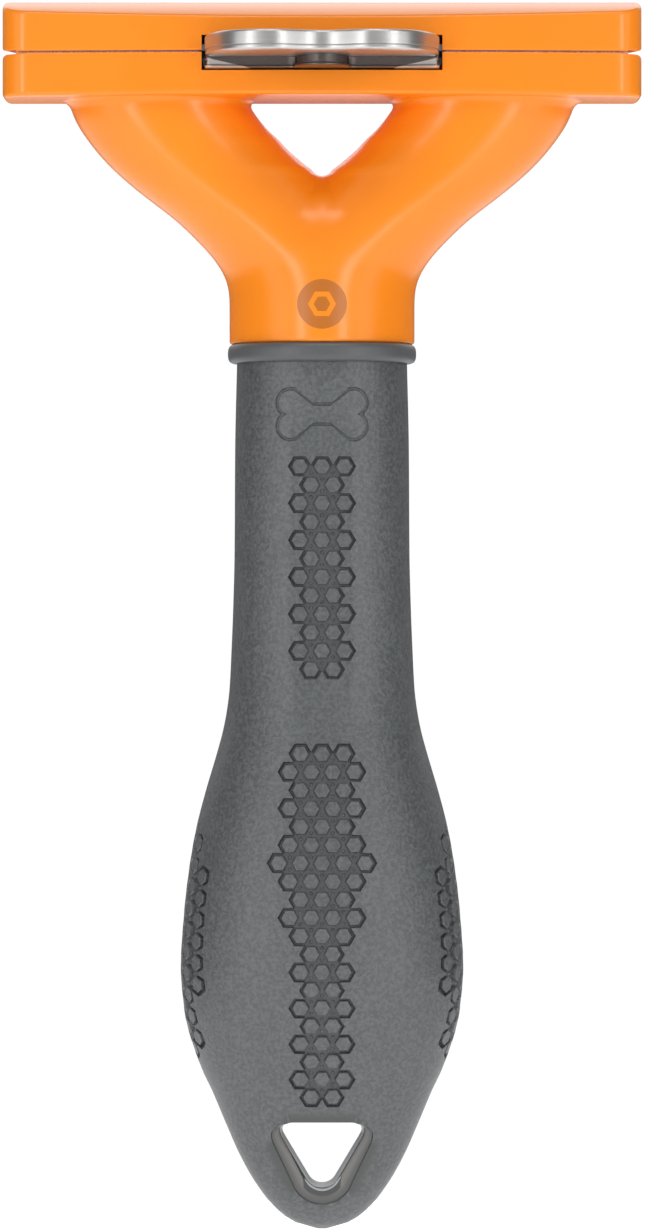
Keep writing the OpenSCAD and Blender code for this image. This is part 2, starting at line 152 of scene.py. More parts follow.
# The room is white to the camera. As a light it is bright behind the tool, above and below it, so
# that level edges catch a pale rim, and dim all round, so that upright sides stay deep in colour.
world = bpy.data.worlds.new("white_room")
world.use_nodes = True
bpy.context.scene.world = world
room = NodeMaker(world.node_tree)
toward = room.node("ShaderNodeTexCoord", {}, {}, "Generated")
depth, height = room.axis("Y", toward), room.axis("Z", toward)
behind, before = depth.ramp(0.3, 0.85), depth.ramp(-0.75, -0.97)
above, under = height.ramp(0.05, 0.4), 1 - height.ramp(-0.4, -0.1)
seen = room.node("ShaderNodeLightPath", {}, {}, "Is Camera Ray")
glow = 0.14 + behind * (above + under) * 1.4 + before * 0.24 + above * 0.12
strength = seen * 1.02 + (1 - seen) * glow
background = world.node_tree.nodes["Background"]
world.node_tree.links.new(strength.socket, background.inputs["Strength"])
background.inputs["Color"].default_value = (1, 1, 1, 1)


def add_object(name, mesh):
    """Links a mesh as an object at the origin, unturned and unscaled."""
    piece = bpy.data.objects.new(name, mesh)
    bpy.context.scene.collection.objects.link(piece)
    return piece


def from_polygons(name, points, faces):
    """An object from points in millimetres and lists of their numbers."""
    mesh = bpy.data.meshes.new(name)
    mesh.from_pydata([Vector(p) * MM for p in points], [], faces)
    mesh.update()
    return add_object(name, mesh)


FLOOR_HALF, FLOOR_Z = 500, -40
floor_corners = [(x * FLOOR_HALF, y * FLOOR_HALF, FLOOR_Z) for x, y in ((-1, -1), (1, -1), (1, 1), (-1, 1))]
floor = from_polygons("floor", floor_corners, [(0, 1, 2, 3)])


class Finish(NodeMaker):
    """One material, with a method that makes any node in it."""

    def __init__(self, name, color, roughness, **constants):
        self.material = bpy.data.materials.new(name)
        self.material.use_nodes = True
        self.tree = self.material.node_tree
        self.shader = self.tree.nodes["Principled BSDF"]
        self.shader.inputs["Base Color"].default_value = (*color, 1)
        self.shader.inputs["Roughness"].default_value = roughness
        for socket, value in constants.items():
            self.shader.inputs[socket.replace("_", " ")].default_value = value
        self.place = self.node("ShaderNodeTexCoord", {}, {}, "Object")

    def feed(self, socket, value):
        self.tree.links.new(value.socket, self.shader.inputs[socket])

    def noise(self, scale, detail=2.0, rough=0.5, at=None):
        sockets = {"Vector": at or self.place, "Scale": scale, "Detail": detail, "Roughness": rough}
        return self.node("ShaderNodeTexNoise", {}, sockets)

    def mix(self, amount, first, second):
        """A colour between two colours, each a constant or a socket."""
        return self.node("ShaderNodeMix", {"data_type": "RGBA"}, {0: amount, 6: first, 7: second}, 2)

    def bump(self, height, strength, distance):
        sockets = {"Height": height, "Strength": strength, "Distance": distance}
        return self.node("ShaderNodeBump", {}, sockets)

    def put_on(self, *pieces):
        for piece in pieces:
            piece.data.materials.clear()
            piece.data.materials.append(self.material)


pale = Finish("pale_floor", (0.95, 0.95, 0.95), 0.9, Emission_Color=(1, 1, 1, 1), Emission_Strength=0.62)
pale.put_on(floor)


# ---------------------------------------------------------------- lower half of the head
# One half of the moulded head: a flat bar under the comb, with two arms that run down into the
# neck. It is satin ABS from one shot, with soft edges, and a round mark is printed on the neck.

ROOT = "handle_and_head"
HEAD_HALF, CORNER, END_ROUND = 40.0, 3.0, 0.6
FRONT_R, BACK_R = 420, 230
RELIEF_X, HALF_SEAM = 38.2, 0.1
PART_Z, UNDER_Z, UNDER_R = 147.5, 141.85, 120.0
NECK_Z, CROTCH_Z = 111.3, 132.5


def corner_turn(x):
    """How far the plan is drawn in where the head's corners are rounded."""
    past = np.maximum(np.abs(x) - (HEAD_HALF - CORNER), 0)
    return CORNER - np.sqrt(np.maximum(CORNER**2 - past**2, 0))


def front_y(x):
    """Bowed front of the head, with its corners rounded in plan."""
    return -10.5 + FRONT_R - np.sqrt(FRONT_R**2 - x * x) + corner_turn(x)


def back_y(x):
    return 11 + BACK_R - np.sqrt(BACK_R**2 - x * x) - corner_turn(x)


def rounded(corners):
    """A closed outline from (a, b, radius) corners, each turned into an arc of six points."""
    outline = []
    for i, (a, b, radius) in enumerate(corners):
        corner = np.array([a, b])
        if radius == 0:
            outline.append(corner)
            continue
        before = np.array(corners[i - 1][:2]) - corner
        after = np.array(corners[(i + 1) % len(corners)][:2]) - corner
        before, after = before / np.linalg.norm(before), after / np.linalg.norm(after)
        half = math.acos(np.clip(before @ after, -1, 1)) / 2
        middle = (before + after) / np.linalg.norm(before + after)
        centre = corner + middle * radius / math.sin(half)
        start, end = corner + before * radius / math.tan(half), corner + after * radius / math.tan(half)
        for t in np.linspace(0, 1, 6):
            spoke = start * (1 - t) + end * t - centre
            outline.append(centre + spoke / np.linalg.norm(spoke) * radius)
    return outline


def head_stations():
    """Places along the bar, close together where its ends turn."""
    plan = HEAD_HALF - CORNER + CORNER * np.sin(np.radians(np.linspace(0, 84, 9)))
    edge = HEAD_HALF - END_ROUND + END_ROUND * np.sin(np.radians([0, 25, 45, 62, 78, 90]))
    relief = [RELIEF_X - 0.05, RELIEF_X + 0.05]
    right = np.unique(np.round(np.concatenate([np.linspace(0, 36.4, 15), plan, edge, relief]), 4))
    return np.concatenate([-right[:0:-1], right])


def loft(name, rings, loop=False):
    """A closed skin over rings of equal length; loop joins the last ring to the first."""
    count, many = len(rings[0]), len(rings)
    points = [p for ring in rings for p in ring]
    faces = []
    for r in range(many if loop else many - 1):
        for i in range(count):
            j, s = (i + 1) % count, (r + 1) % many
            faces.append((r * count + i, r * count + j, s * count + j, s * count + i))
    if not loop:
        faces.append(tuple(range(count)))
        faces.append(tuple((many - 1) * count + i for i in range(count)))
    piece = from_polygons(name, points, faces)
    tidy(piece)
    return piece


def tidy(piece, angle=35):
    """Merges doubles, turns all faces outwards and shades them smooth up to an angle."""
    work = bmesh.new()
    work.from_mesh(piece.data)
    bmesh.ops.remove_doubles(work, verts=work.verts, dist=1e-7)
    bmesh.ops.recalc_face_normals(work, faces=work.faces)
    work.to_mesh(piece.data)
    work.free()
    piece.data.shade_smooth()
    piece.data.set_sharp_from_angle(angle=math.radians(angle))


def block(name, low, high):
    """A box between two corners, in millimetres."""
    (a, b, c), (d, e, f) = low, high
    return loft(name, [[(a, b, z), (d, b, z), (d, e, z), (a, e, z)] for z in (c, f)])


def rod(name, centre, axis, length, radius, sides=32):
    """A round bar from a point along the y or z axis."""
    turn = [2 * math.pi * i / sides for i in range(sides)]
    x, y, z = centre
    if axis == "y":
        return loft(name, [[(x + radius * math.cos(a), y + t, z + radius * math.sin(a)) for a in turn]
                           for t in (0, length)])
    return loft(name, [[(x + radius * math.cos(a), y + radius * math.sin(a), z + t) for a in turn]
                       for t in (0, length)])


def bake(piece):
    """Turns what the modifiers make into the piece's own mesh."""
    bpy.context.view_layer.update()
    shape = bpy.data.meshes.new_from_object(piece.evaluated_get(bpy.context.evaluated_depsgraph_get()))
    piece.modifiers.clear()
    piece.data = shape


def cut(piece, *tools):
    """Takes the tools out of the piece, one after another, and throws them away."""
    for tool in tools:
        step = piece.modifiers.new("cut", "BOOLEAN")
        step.operation, step.solver, step.object = "DIFFERENCE", "EXACT", tool
    bake(piece)
    for tool in tools:
        bpy.data.objects.remove(tool)
    piece.data.set_sharp_from_angle(angle=math.radians(35))


def under_z(y):
    return UNDER_Z + UNDER_R - math.sqrt(UNDER_R**2 - (y + 2) ** 2)


def end_inset(x):
    """How far a section is drawn in where the edges of the head's ends turn."""
    return END_ROUND - math.sqrt(max(END_ROUND**2 - max(abs(x) - HEAD_HALF + END_ROUND, 0) ** 2, 0))


def lower_section(x):
    inset = end_inset(x)
    front, back, top = front_y(x) + inset, back_y(x) - inset, PART_Z - HALF_SEAM - inset
    lift = 0.3 if abs(x) > RELIEF_X else 0
    belly = [(y, under_z(y) + inset, 0) for y in np.linspace(back - 2, front + 2, 9)]
    outline = rounded([(front, under_z(front) + inset, 0.55), (front, top - lift / 2, 0.22),
                       (back, top - lift, 0.22), (back, under_z(back) + inset, 0.5), *belly])
    return [(x, y, z) for y, z in outline]


lower_bar = loft("lower_bar", [lower_section(x) for x in head_stations()])


def curve(pairs, blur):
    """A smooth curve through a table of places and values, softened over a length in millimetres."""
    places, values = np.array(pairs, float).T
    rise = np.diff(values) / np.diff(places)
    slope = np.concatenate([[rise[0]], np.zeros(len(rise) - 1), [rise[-1]]])
    same = rise[:-1] * rise[1:] > 0
    total = np.where(same, rise[:-1] + rise[1:], 1)
    slope[1:-1] = np.where(same, 2 * rise[:-1] * rise[1:] / total, 0)
    dense = np.arange(places[0], places[-1] + 0.05, 0.05)
    k = np.clip(np.searchsorted(places, dense, "right") - 1, 0, len(places) - 2)
    width = np.diff(places)[k]
    t = np.clip((dense - places[k]) / width, 0, 1)
    line = (values[k] * (1 + 2 * t) * (1 - t) ** 2 + width * slope[k] * t * (1 - t) ** 2
            + values[k + 1] * t * t * (3 - 2 * t) - width * slope[k + 1] * t * t * (1 - t))
    if blur > 0:
        reach = int(3 * blur / 0.05)
        weight = np.exp(-0.5 * (np.arange(-reach, reach + 1) * 0.05 / blur) ** 2)
        before, after = 2 * line[0] - line[reach:0:-1], 2 * line[-1] - line[-2:-reach - 2:-1]
        padded = np.concatenate([before, line, after])
        line = np.convolve(padded, weight / weight.sum(), "valid")
    return lambda at: np.interp(at, dense, line)


yoke_out = curve([(0, 11.65), (6, 11.65), (8, 12), (10.7, 13.55), (13.2, 15.85), (15.7, 18.45),
                  (18.2, 21.75), (20.7, 24.85), (23.3, 27.55), (25.8, 29.55), (28.3, 31.15),
                  (31, 32.05)], 0.9)
yoke_in = curve([(0, 0), (0.04, 0.34), (0.14, 0.62), (0.3, 0.86), (0.5, 1.06), (0.8, 1.3), (1.4, 2.1),
                 (2.1, 2.92), (3.3, 4.3), (4.6, 5.5), (5.8, 6.8), (7.1, 7.9), (8.6, 8.95), (9.5, 9.4)], 0)
body_in = curve([(-24, -27.6), (-3, -3), (0, 0.6), (0.8, 1.52), (1.4, 2.2), (2.1, 2.98), (3.3, 4.3),
                 (4.6, 5.5), (5.8, 6.8), (7.1, 7.9), (8.6, 8.95), (9.5, 9.4)], 0.5)
yoke_depth = curve([(0, 20.6), (6, 20.5), (8, 20), (16, 18), (22, 17), (31, 17.4)], 1.5)
AT_CROTCH = float(body_in(0))
CROTCH_RISE = float(body_in(0.1) - body_in(-0.1)) / 0.2
FLARE, FOOT_ROUND, SADDLE, TURNS = 1.1, 0.4, 2.88, 97


def yoke_row(z):
    """Right half of the yoke at one height, from the inner front round to the inner back."""
    out, depth = float(yoke_out(z - NECK_Z)), float(yoke_depth(z - NECK_Z))
    flare = FLARE - math.sqrt(max(FLARE**2 - max(z - UNDER_Z + FLARE, 0) ** 2, 0))
    above = z - CROTCH_Z
    inner = max(float(body_in(above)), -out) - flare
    rim = float(yoke_in(above)) - flare
    share = min(1, max(0, above) / 4)
    round_off = share**2 * (3 - 2 * share)
    if above >= 0:
        saddle = (rim * (1 - round_off)) ** 2
        pull = inner - math.sqrt(max(rim * rim - saddle, 0))
    else:
        saddle = SADDLE * above * math.exp(above / 1.2)
        pull = AT_CROTCH * math.exp(CROTCH_RISE / AT_CROTCH * above)
    out += flare
    depth += 0.8 * flare
    if z < NECK_Z + FOOT_ROUND:
        nip = FOOT_ROUND - math.sqrt(max(FOOT_ROUND**2 - (NECK_Z + FOOT_ROUND - z) ** 2, 0))
        out, depth, inner = out - nip, depth - 2 * nip, inner + nip
    mid, half = (inner + out) / 2, (out - inner) / 2
    power = 1.8 + 0.3 * min(1, max(0, (z - NECK_Z - 8) / 14))

    def at(angle):
        c, s = np.cos(angle), np.sin(angle)
        x = mid - half * np.sign(c) * np.abs(c) ** (2 / power) - pull * (0.5 + 0.5 * c) ** 3
        x = x * np.abs(x) + saddle * (0.5 + 0.5 * c)
        x = np.sign(x) * np.sqrt(np.abs(x))
        return x, depth / 2 * np.abs(s) ** (2 / power)

    start, high = 0.0, 2.0
    for _ in range(40 if above < 0 else 0):
        half_way = (start + high) / 2
        start, high = (half_way, high) if at(half_way)[0] < 0 else (start, half_way)
    hidden_x, hidden_y = at(np.linspace(0, start, 40))
    row = []
    # The columns lean toward the crotch as they near it, so that they stay lined up across it.
    blend = 1 + 1.5 * max(0, 1 + min(0, above) / 3)
    turn = np.linspace(0, math.pi, TURNS // 2 + 1)
    first_half = (start**blend + turn**blend * (1 - (start / math.pi) ** blend)) ** (1 / blend)
    for angle in [*first_half, *(2 * math.pi - first_half[-2::-1])]:
        x, y = (float(v) for v in at(angle))
        if above < 0 and x < -hidden_x[0]:
            other = float(np.interp(-x, hidden_x, hidden_y))
            soft = 4.5 * max(0, 1 + inner / out) * min(1, -above / 3) ** 1.5
            gap = max(soft - abs(y - other), 0) / soft if soft > 1e-6 else 0
            y = max(y, other) + gap * gap * soft / 4
        y = -y if angle < math.pi else y
        level = max(z - 137.5, 0) / (UNDER_Z - 137.5)
        rise = level * level * (under_z(y) - UNDER_Z + 0.03)
        row.append((max(x, 0) if above < 0 else x, y, z + rise))
    if above < 0:
        row[0], row[-1] = (0, *row[0][1:]), (0, *row[-1][1:])
    else:
        row[0] = row[-1] = (row[0][0], 0, row[0][2])
    return row


near = [0.05, 0.12, 0.21, 0.32, 0.46, 0.64, 0.88, 1.2, 1.6, 2.1, 2.7]
heights = [*[NECK_Z + k for k in (0, 0.08, 0.2, 0.4)], *np.arange(NECK_Z + 1, CROTCH_Z - 3.1, 0.5),
           *[CROTCH_Z - k for k in near[::-1]], CROTCH_Z, *[CROTCH_Z + k for k in near],
           *np.arange(CROTCH_Z + 3.3, UNDER_Z - 1.3, 0.5),
           *[UNDER_Z - k for k in (1.1, 0.9, 0.7, 0.5, 0.34, 0.2, 0.09, 0)]]
rows = [yoke_row(z) for z in heights]
rows.append([(x, 0.9 * y, 144) for x, y, z in rows[-1]])
points, faces = [], []
for side in (1, -1):
    base = len(points)
    points += [(side * x, y, z) for row in rows for x, y, z in row]
    for r in range(len(rows) - 1):
        for i in range(TURNS - 1):
            a = base + r * TURNS + i
            faces.append((a, a + 1, a + 1 + TURNS, a + TURNS))
    top = base + (len(rows) - 1) * TURNS
    faces.append(tuple(range(top, top + TURNS - 1)))
other = len(rows) * TURNS
faces.append((*range(TURNS), *range(other + TURNS - 2, other, -1)))
yoke = from_polygons("yoke", points, faces)
tidy(yoke, 50)

FRONT_WALL = 1.1
pocket_box = ((-15, -14, 145.1), (15, 0.5, 149.5))
slot_line = np.linspace(-38.23, 38.23, 33)
slot_plan = [(x, front_y(x) + FRONT_WALL) for x in slot_line]
slot_plan += [(x, back_y(x) + 3) for x in slot_line[::-1]]
blade_slot = loft("blade_slot", [[(x, y, z) for x, y in slot_plan] for z in (146.6, 148)])
cut(lower_bar, block("pocket", *pocket_box), blade_slot)
NECK_SCREWS = (115.9, 122.3)
cut(yoke, *[rod("recess", (0, 8.1, z), "y", 6, 2.2) for z in NECK_SCREWS],
    *[rod("shank", (0, 2, z), "y", 8, 1.2) for z in NECK_SCREWS])

orange = Finish("orange_abs", (0.88, 0.235, 0.012), 0.3, Specular_IOR_Level=0.42)
speckle = orange.noise(2600, 3, 0.6)
cloud = orange.noise(60, 2)
orange_body = orange.mix(cloud.ramp(0.35, 0.7), (0.88, 0.236, 0.009, 1), (0.9, 0.25, 0.012, 1))
mark_x, mark_z = orange.axis("X", orange.place), orange.axis("Z", orange.place) - 116 * MM
spread = (mark_x * mark_x + mark_z * mark_z).math("SQRT")
on_front = orange.axis("Y", orange.place) < -4 * MM
disc = (spread < 3.11 * MM) * on_front
flat_x, flat_z = mark_x.math("ABSOLUTE"), mark_z.math("ABSOLUTE")
hexagon = (flat_z * 1.1547).math("MAXIMUM", flat_x + flat_z * 0.57735)
ring_mark = (hexagon < 1.75 * MM) * (hexagon > 1.05 * MM)
printed = disc * (1 - ring_mark)
orange.feed("Base Color", orange.mix(printed * 0.9, orange_body, (0.42, 0.125, 0.013, 1)))
orange.feed("Roughness", 0.19 + speckle * 0.1 + printed * 0.08)
orange.feed("Normal", orange.bump(speckle, 0.12, 0.00004))


def fuse(name, *parts):
    """One object from several, under a new name."""
    work = bmesh.new()
    for part in parts:
        work.from_mesh(part.data)
    mesh = bpy.data.meshes.new(name)
    work.to_mesh(mesh)
    work.free()
    for part in parts:
        bpy.data.objects.remove(part)
    return add_object(name, mesh)


lower_shell = fuse("lower_half_of_head", lower_bar, yoke)
orange.put_on(lower_shell)
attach(lower_shell, ROOT)
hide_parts("head_lower_shell")


# ---------------------------------------------------------------- upper half of the head
# The other half of the clamshell, in the same satin ABS. Its top is crowned along its length and
# it is hollow over the ejector plate.


CROWN_TOP, CROWN_R, CROWN_Y = 154.4, 27, 1
BROW = 1.6


def crown_z(y):
    return CROWN_TOP - CROWN_R + math.sqrt(CROWN_R**2 - (y - CROWN_Y) ** 2)


def upper_section(x):
    inset = end_inset(x)
    front, back, low = front_y(x) + inset, back_y(x) - inset, PART_Z + HALF_SEAM + inset
    lift_front, lift_back = (0.1, 1.6) if abs(x) > RELIEF_X else (0, 0)
    crown = [(y, crown_z(y) - inset, 0) for y in np.linspace(front + BROW, back - BROW, 15)]
    outline = rounded([(front, low + lift_front, 0.22), (front, crown_z(front) - inset, 0.55), *crown,
                       (back, crown_z(back) - inset, 0.55), (back, low + lift_back, 0.22)])
    return [(x, y, z) for y, z in outline]


upper_shell = loft("upper_half_of_head", [upper_section(x) for x in head_stations()])
span = np.linspace(-34.6, 34.6, 17)
plan = [(x, max(-9, front_y(x) + FRONT_WALL)) for x in span] + [(x, back_y(x) + 2) for x in span[::-1]]
plate_room = loft("plate_room", [[(x, y, z) for x, y in plan] for z in (147.4, 148.7)])
spring_rooms = [block("room", (s * 21 - 2.5, -8.1, 147.5), (s * 21 + 2.5, 6.6, 152.3)) for s in (-1, 1)]
arm_room = block("arm_room", (-9.5, -9.2, 147.5), (9.5, 9.3, 151.3))
recesses = [rod("recess", (s * 36.4, 5.5, 152.1), "z", 4, 2.1) for s in (-1, 1)]
cut(upper_shell, plate_room, block("pocket", *pocket_box), *spring_rooms, arm_room, *recesses)
orange.put_on(upper_shell)
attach(upper_shell, ROOT)
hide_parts("head_upper_shell")


# ---------------------------------------------------------------- grip sleeve
# The soft handle: grey elastomer moulded over the core, with a leathery spark finish. Panels of
# hexagonal posts are sunk into its front, back and sides, and the tail has a hole to hang it by.

GRIP_TOP = 108.9
POWER = 2.3
FACE = 2 ** (-1 / POWER)
grip_w = curve([(0, 1.1), (0.3, 3.9), (1, 7.65), (2.9, 12.3), (4.8, 15.4), (7.3, 18.6), (9.8, 21.2),
                (12.3, 23.4), (14.9, 25.6), (17.4, 27.7), (19.9, 30.1), (22.4, 32), (24.9, 33.6),
                (27.5, 34.7), (33, 35.6), (40, 34.75), (45, 33.6), (50, 31.9), (55, 29.35), (60, 26.4),
                (62.7, 24.95), (65.3, 23.96), (68, 23.3), (73, 22.8), (78, 22.4), (85, 22.05),
                (98, 21.9), (109.5, 21.4)], 0.25)
grip_d = curve([(0, 1.35), (0.3, 3.2), (1, 5.4), (2.9, 8.4), (4.8, 10.3), (7.3, 11.9), (9.8, 13.2),
                (12.3, 14.6), (14.9, 16.2), (19.9, 19.4), (24.9, 22.95), (29, 25.1), (33, 26.5),
                (40, 27), (45, 26.7), (50, 25.7), (55, 24.2), (60, 22.6), (65.3, 20.8),
                (73, 19.3), (85, 18.8), (109.5, 18.8)], 0.25)


def face_skin(x, z):
    """Distance of the skin in front of the middle plane, with a flat panel down the upper grip."""
    round_y = grip_d(z) / 2 * (1 - np.minimum(np.abs(2 * x / grip_w(z)), 1) ** POWER) ** (1 / POWER)
    panel = np.clip((z - 58) / 12, 0, 1) * np.clip((106 - z) / 3, 0, 1)
    crown = grip_d(z) / 2 - 0.34 * panel
    gap = np.clip(0.1 - (round_y - crown), 0, 0.2) / 0.2
    flat_y = np.where(round_y > crown - 0.1, crown - 0.1 * gap * gap, round_y)
    return np.where(panel > 0, flat_y, round_y)


def side_skin(y, z):
    return grip_w(z) / 2 * (1 - np.minimum(np.abs(2 * y / grip_d(z)), 1) ** POWER) ** (1 / POWER)


SKINS = {"face": (face_skin, grip_w), "side": (side_skin, grip_d)}


def hex_size(u, v):
    """Size of the flat-topped hexagon through a point, as its corner radius."""
    return np.maximum(np.abs(v) * 2 / math.sqrt(3), np.abs(u) + np.abs(v) / math.sqrt(3))


def hex_rows(counts, top, pitch, row):
    """Centres of a field given as a number of cells for each row, from its top down."""
    return [((i - (n - 1) / 2) * pitch, top - r * row) for r, n in enumerate(counts) for i in range(n)]


PITCH = 2.7
face_cells = hex_rows([3, 4, 3, 4, 3, 4, 5, 4, 3, 4, 3, 2, 3, 2, 3, 2, 3, 2, 3, 2], 60.03, PITCH, 2.26)
face_cells += hex_rows([3, 2, 3, 2, 3, 2, 3, 2, 3, 2, 3, 2], 95.8, 2.78, 2.3)
side_cells = []
for column in range(-3, 4):
    start, stop = [(21.4, 52.6), (21.4, 52), (23, 50), (28.5, 46)][abs(column)]
    shift = PITCH / 2 if column % 2 else 0
    side_cells += [(column * 2.34, z) for z in np.arange(-3, 30) * PITCH + shift if start < z < stop]
CELLS = {"face": (face_cells, 0, 0.965), "side": (side_cells, 90, 1)}
FLOOR_DEPTH, OUTER_R, FLOOR_R = 0.5, 1.5, 1.4


def cell_size(kind, points):
    """For each point, the smallest hexagon round any cell that reaches it."""
    cells, turn, squeeze = CELLS[kind]
    size = np.full(len(points), 99.0)
    for a, b in cells:
        near_by = np.abs(points[:, 1] - b) < 4
        u, v = points[near_by, 0] - a, (points[near_by, 1] - b) / squeeze
        size[near_by] = np.minimum(size[near_by], hex_size(v, u) if turn else hex_size(u, v))
    return size


def sink(kind, points):
    """Depth of the sunk panels under the skin; between three cells the floor runs through."""
    size = cell_size(kind, points)
    depth = np.clip((OUTER_R - size) / (OUTER_R - FLOOR_R), 0, 1) * FLOOR_DEPTH
    centres = np.array(CELLS[kind][0])
    close = np.array([(np.hypot(*(centres - p).T) < 2.2).sum() for p in points])
    return np.where(close >= 3, FLOOR_DEPTH, depth)


hang_corners = [((3.7, 12.5), 1.3, -31, 90), ((-3.7, 12.5), 1.3, 90, 211), ((0, 7.5), 1.9, 211, 329)]


def hang_outline(grow):
    """Rounded triangle of the hang hole; grow is a number, or a rule by height for an uneven lip."""
    outline = []
    for (cx, cz), radius, first, last in hang_corners:
        for angle in np.radians(np.linspace(first, last, 13)):
            level = cz + radius * math.sin(angle)
            reach = radius + (grow(level) if callable(grow) else grow)
            outline.append((cx + reach * math.cos(angle), cz + reach * math.sin(angle)))
    return np.array(outline)


def hole_width(level):
    """How far the sleeve stands back from the eyelet's bore: not at all under the flat top."""
    down = np.clip((13.75 - level) / 1.0, 0, 1)
    return 0.02 + 0.53 * down * down * (3 - 2 * down)


def lip_width(level):
    """The scooped lip runs round the sides and the bottom and dies out under the flat top."""
    down = np.clip((13.6 - level) / 1.2, 0, 1)
    return 0.05 + 0.6 * down * down * (3 - 2 * down) + 1.15 * np.clip((12.8 - level) / 8, 0, 1) ** 0.6


def bone_outline(grow):
    """Outline of a dog's bone as the farthest reach of its four knobs and its bar."""
    outline = []
    for angle in np.radians(np.arange(0, 360, 5)):
        ray = np.array([math.cos(angle), math.sin(angle)])
        reach = min(4 / max(abs(ray[0]), 1e-9), (1.25 + grow) / max(abs(ray[1]), 1e-9))
        for a in (-3.9, 3.9):
            for b in (-1.45, 1.45):
                along = ray @ (a, b)
                off = a * a + b * b - along * along
                if along > 0 and off < (1.75 + grow) ** 2:
                    reach = max(reach, along + math.sqrt((1.75 + grow) ** 2 - off))
        outline.append(ray * reach + (0, 102.3))
    return np.array(outline)


LEVELS = np.concatenate([[0.02, 0.1, 0.3, 0.6, 1, 1.6, 2.3, 3.1], np.arange(4, 108.5, 0.9), [GRIP_TOP]])


def patch(kind, marks):
    """One quarter of the sleeve, flattened and meshed round its marks: points, depths and triangles."""
    skin, across = SKINS[kind]
    edge = FACE * across(LEVELS) / 2
    top = np.linspace(-edge[-1], edge[-1], 19)[1:-1]
    rim = [*zip(edge, LEVELS), *[(a, GRIP_TOP) for a in top[::-1]], *zip(-edge[::-1], LEVELS[::-1])]
    points, known, lines = list(rim), [0.0] * len(rim), [(i, (i + 1) % len(rim)) for i in range(len(rim))]

    def add_loop(loop, depth):
        first = len(points)
        points.extend(tuple(p) for p in loop)
        known.extend([depth] * len(loop))
        lines.extend((first + i, first + (i + 1) % len(loop)) for i in range(len(loop)))

    cells, turn, squeeze = CELLS[kind]
    for a, b in cells:
        for size in (OUTER_R, FLOOR_R):
            angles = np.radians(np.arange(6) * 60 + turn)
            add_loop([(a + size * math.cos(t), b + squeeze * size * math.sin(t)) for t in angles], None)
    for loop, depth in marks:
        add_loop(loop, depth)
    inner = []
    for level in np.arange(0.8, 108.4, 0.75):
        width = FACE * across(level) / 2
        count = int(2 * width / 0.8)
        inner += [((i + 0.5) / count * 2 * width - width, level) for i in range(count)]
    inner = np.array(inner)
    clear = cell_size(kind, inner) > OUTER_R + 0.15
    for loop, depth in marks:
        centre = loop.mean(axis=0)
        reach = np.hypot(*(loop - centre).T).max() + 0.3
        clear &= (np.hypot(*(inner - centre).T) > reach) | (depth == 0)
    points.extend(tuple(p) for p in inner[clear])
    known.extend([None] * int(clear.sum()))
    made = delaunay_2d_cdt([Vector(p) for p in points], lines, [], 1, 1e-6)
    flat = np.array([tuple(p) for p in made[0]])
    depth = sink(kind, flat)
    for i, origins in enumerate(made[3]):
        given = [known[o] for o in origins if known[o] is not None]
        if given:
            depth[i] = max(given)
    return flat, depth, np.array([t for t in made[2] if len(t) == 3])


def raise_patch(kind, flat, depth):
    """Places flattened points on the skin, facing front or right, with their normals."""
    skin, across = SKINS[kind]
    a, z, tiny = flat[:, 0], flat[:, 1], 0.02
    out = skin(a, z)
    slope_a = (skin(a + tiny, z) - skin(a - tiny, z)) / (2 * tiny)
    slope_z = (skin(a, z + tiny) - skin(a, np.maximum(z - tiny, 0))) / (2 * tiny)
    if kind == "face":
        points, normals = np.stack([a, -out, z], 1), np.stack([-slope_a, -np.ones(len(a)), -slope_z], 1)
    else:
        points, normals = np.stack([out, a, z], 1), np.stack([np.ones(len(a)), -slope_a, -slope_z], 1)
    normals /= np.linalg.norm(normals, axis=1)[:, None]
    return points - normals * depth[:, None], normals


hole_edge = hang_outline(hole_width)
lip_edge = hang_outline(lambda level: hole_width(level) + lip_width(level))
hole_marks = [(lip_edge, 0.0)]
for share, depth in ((0.07, 0.2), (0.22, 0.27), (0.42, 0.38), (0.62, 0.55), (0.8, 0.78), (0.92, 0.98),
                     (1.0, 1.2)):
    hole_marks.append((lip_edge * (1 - share) + hole_edge * share, depth))
bone_marks = [(bone_outline(g), d) for g, d in ((-0.22, 0.0), (-0.1, 0.22), (0.1, 0.22), (0.22, 0.0))]


def inside(points, loop):
    """True for each point within a closed outline."""
    hit = np.zeros(len(points), bool)
    for (ax, az), (bx, bz) in zip(loop, np.roll(loop, -1, axis=0)):
        if az == bz:
            continue
        crosses = (points[:, 1] > az) != (points[:, 1] > bz)
        hit ^= crosses & (points[:, 0] < ax + (points[:, 1] - az) / (bz - az) * (bx - ax))
    return hit


quarters, lips, sunk = [], [], []
for kind, marks, turns in (("face", hole_marks + bone_marks, [(1, 1)]), ("face", hole_marks, [(1, -1)]),
                           ("side", [], [(1, 1), (-1, 1)])):
    flat, depth, triangles = patch(kind, marks)
    if kind == "face":
        triangles = triangles[~inside(flat[triangles].mean(axis=1), hole_edge)]
    points, normals = raise_patch(kind, flat, depth)
    in_lip = inside(flat, lip_edge) if kind == "face" else np.zeros(len(flat), bool)
    lips += [np.where(in_lip, 0.25 + 0.62 * depth, 0)] * len(turns)
    sunk += [np.where(in_lip, 0, depth / FLOOR_DEPTH)] * len(turns)
    even = np.ptp(depth[triangles], axis=1) < 0.02
    for flip_x, flip_y in turns:
        flip = np.array([flip_x, flip_y, 1])
        quarters.append((points * flip, normals * flip, triangles, even))

